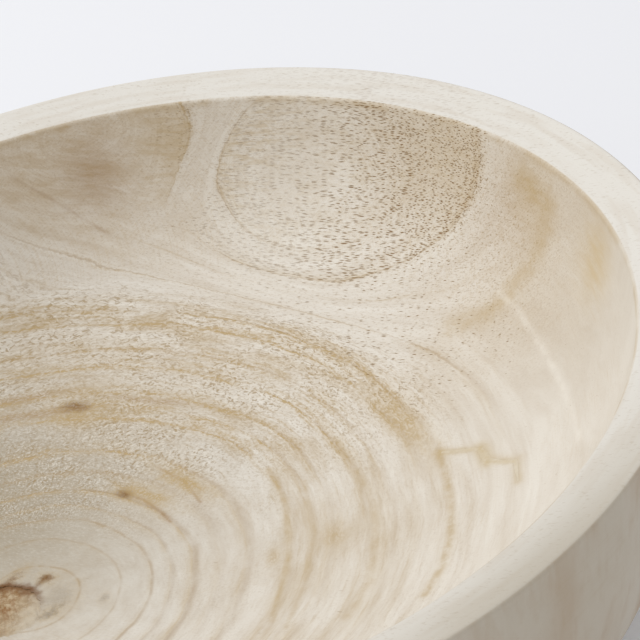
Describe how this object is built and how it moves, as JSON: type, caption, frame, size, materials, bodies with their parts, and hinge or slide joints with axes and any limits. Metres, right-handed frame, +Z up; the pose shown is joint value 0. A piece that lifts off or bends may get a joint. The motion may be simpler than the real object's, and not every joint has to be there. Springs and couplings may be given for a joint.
{
  "type": "wooden bowl",
  "caption": "Thick-walled round bowl turned from one block of pale wood, with a sloping flat rim, a plugged heart, a filled check and felt pads under the foot.",
  "frame": {"origin": "on the table, under the middle of the bowl", "axes": "+Z up along the bowl's turning axis, +X to the right and +Y away in the picture"},
  "size_m": [0.25, 0.25, 0.073],
  "materials": {
    "pale_wood": "sanded, unvarnished",
    "plug_wood": "matt, cracked",
    "check_filling": "matt, sanded flush",
    "felt": "pressed wool felt"
  },
  "bodies": {
    "root": {"bowl_body": "pale_wood", "pith_plug": "plug_wood", "check_filler": "check_filling", "felt_pad_1": "felt", "felt_pad_2": "felt", "felt_pad_3": "felt", "felt_pad_4": "felt"}
  },
  "joints": []
}
